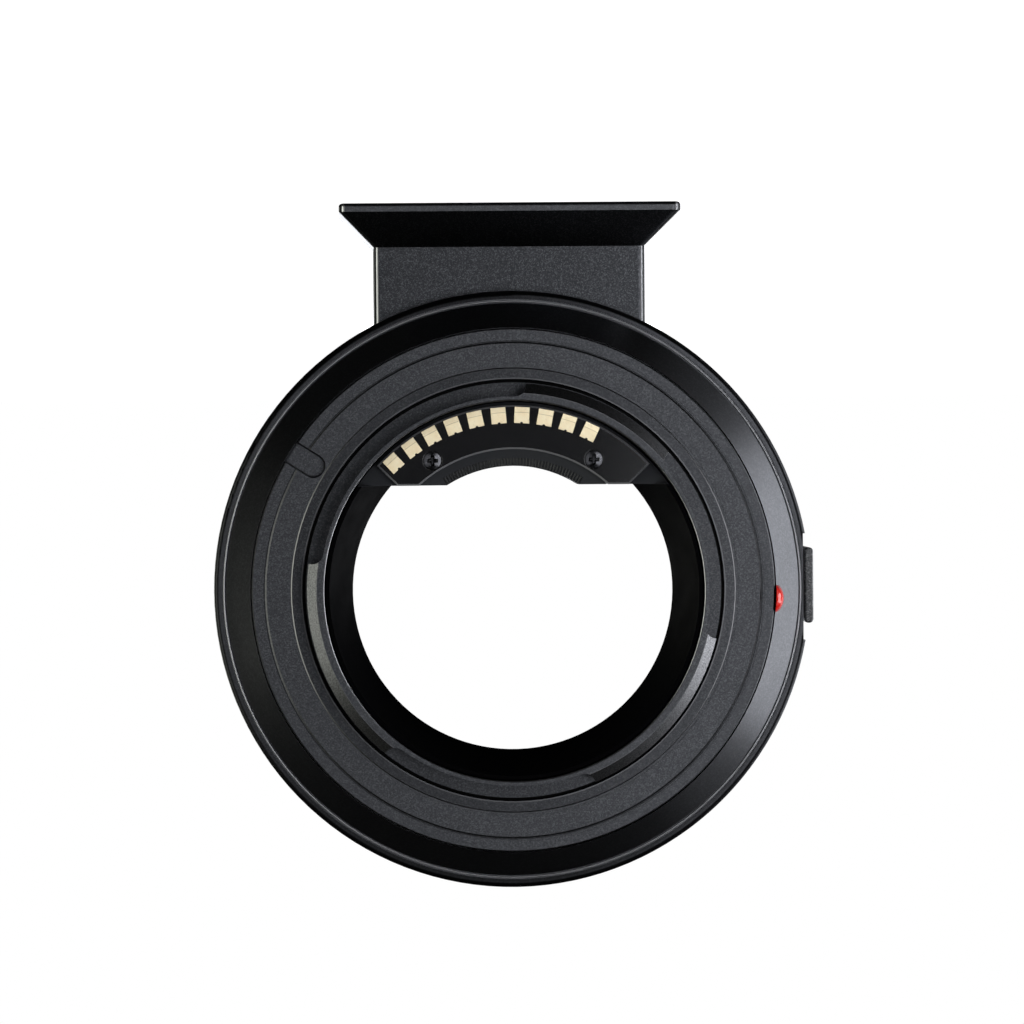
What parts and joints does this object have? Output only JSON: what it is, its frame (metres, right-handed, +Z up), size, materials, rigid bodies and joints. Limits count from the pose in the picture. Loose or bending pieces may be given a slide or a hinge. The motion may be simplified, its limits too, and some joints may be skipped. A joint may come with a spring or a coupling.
{
  "type": "lens mount adapter",
  "caption": "Ring adapter that carries an SLR lens on a mirrorless camera, with electric contacts on both sides, a lens release slider and a dovetail tripod foot.",
  "frame": {"origin": "mouth of the tripod thread, in the middle of the foot's base", "axes": "+Z up from the foot to the ring; the optical axis runs along Y at Z = 43 mm, camera side -Y, lens side +Y"},
  "size_m": [0.0673, 0.0324, 0.0768],
  "materials": {
    "black_anodised": "fine blasted black anodising",
    "mount_black": "fine blasted black anodising",
    "baffle_black": "matt moulded",
    "block_gloss": "gloss moulded",
    "gold_plate": "gold plated, satin",
    "pin_gold": "gold plated",
    "board_green": "solder resist",
    "chip_black": "moulded package",
    "mount_steel": "turned, satin",
    "holder_black": "moulded",
    "button_black": "ribbed, fine texture",
    "carriage_metal": "machined",
    "bright_steel": "polished",
    "spring_steel": "drawn wire and strip",
    "dark_steel": "black oxide",
    "red_enamel": "gloss enamel"
  },
  "bodies": {
    "adapter_body": {"barrel": "black_anodised", "tripod_foot": "black_anodised", "camera_mount": "mount_black", "light_baffle": "baffle_black", "contact_block": "block_gloss", "camera_contact_01": "gold_plate", "camera_contact_02": "gold_plate", "camera_contact_03": "gold_plate", "camera_contact_04": "gold_plate", "camera_contact_05": "gold_plate", "camera_contact_06": "gold_plate", "camera_contact_07": "gold_plate", "camera_contact_08": "gold_plate", "camera_contact_09": "gold_plate", "camera_contact_10": "gold_plate", "circuit_board": "board_green", "controller_chip": "chip_black", "power_chip": "chip_black", "lens_mount": "mount_steel", "pin_holder": "holder_black", "spring_rod": "bright_steel", "tripod_bush": "bright_steel", "lens_mount_screws": "bright_steel", "lens_spring_1": "spring_steel", "lens_spring_2": "spring_steel", "lens_spring_3": "spring_steel", "pin_spring_1": "spring_steel", "pin_spring_2": "spring_steel", "pin_spring_3": "spring_steel", "pin_spring_4": "spring_steel", "pin_spring_5": "spring_steel", "pin_spring_6": "spring_steel", "pin_spring_7": "spring_steel", "pin_spring_8": "spring_steel", "release_spring": "spring_steel", "camera_mount_screws": "dark_steel", "baffle_screws": "dark_steel", "contact_block_screws": "dark_steel", "lens_spring_screws": "dark_steel", "pin_holder_screws": "dark_steel", "foot_screws": "dark_steel", "camera_index_dot": "red_enamel", "lens_index_dot": "red_enamel"},
    "release_slider": {"release_button": "button_black", "release_carriage": "carriage_metal", "button_screws": "dark_steel", "lock_pin": "bright_steel"},
    "contact_pin_1": {"lens_pin_1": "pin_gold"},
    "contact_pin_2": {"lens_pin_2": "pin_gold"},
    "contact_pin_3": {"lens_pin_3": "pin_gold"},
    "contact_pin_4": {"lens_pin_4": "pin_gold"},
    "contact_pin_5": {"lens_pin_5": "pin_gold"},
    "contact_pin_6": {"lens_pin_6": "pin_gold"},
    "contact_pin_7": {"lens_pin_7": "pin_gold"},
    "contact_pin_8": {"lens_pin_8": "pin_gold"}
  },
  "joints": [
    {"name": "release_slide", "type": "slide", "parent": "adapter_body", "child": "release_slider", "axis": [0, -1, 0], "range_m": [0, 0.0022], "stiffness_N_per_m": 500, "springref_m": -0.003, "deforming": ["release_spring"]},
    {"name": "contact_pin_1_press", "type": "slide", "parent": "adapter_body", "child": "contact_pin_1", "axis": [0, -1, 0], "range_m": [0, 0.001], "stiffness_N_per_m": 200, "springref_m": -0.001, "deforming": ["pin_spring_1"]},
    {"name": "contact_pin_2_press", "type": "slide", "parent": "adapter_body", "child": "contact_pin_2", "axis": [0, -1, 0], "range_m": [0, 0.001], "stiffness_N_per_m": 200, "springref_m": -0.001, "deforming": ["pin_spring_2"]},
    {"name": "contact_pin_3_press", "type": "slide", "parent": "adapter_body", "child": "contact_pin_3", "axis": [0, -1, 0], "range_m": [0, 0.001], "stiffness_N_per_m": 200, "springref_m": -0.001, "deforming": ["pin_spring_3"]},
    {"name": "contact_pin_4_press", "type": "slide", "parent": "adapter_body", "child": "contact_pin_4", "axis": [0, -1, 0], "range_m": [0, 0.001], "stiffness_N_per_m": 200, "springref_m": -0.001, "deforming": ["pin_spring_4"]},
    {"name": "contact_pin_5_press", "type": "slide", "parent": "adapter_body", "child": "contact_pin_5", "axis": [0, -1, 0], "range_m": [0, 0.001], "stiffness_N_per_m": 200, "springref_m": -0.001, "deforming": ["pin_spring_5"]},
    {"name": "contact_pin_6_press", "type": "slide", "parent": "adapter_body", "child": "contact_pin_6", "axis": [0, -1, 0], "range_m": [0, 0.001], "stiffness_N_per_m": 200, "springref_m": -0.001, "deforming": ["pin_spring_6"]},
    {"name": "contact_pin_7_press", "type": "slide", "parent": "adapter_body", "child": "contact_pin_7", "axis": [0, -1, 0], "range_m": [0, 0.001], "stiffness_N_per_m": 200, "springref_m": -0.001, "deforming": ["pin_spring_7"]},
    {"name": "contact_pin_8_press", "type": "slide", "parent": "adapter_body", "child": "contact_pin_8", "axis": [0, -1, 0], "range_m": [0, 0.001], "stiffness_N_per_m": 200, "springref_m": -0.001, "deforming": ["pin_spring_8"]}
  ]
}
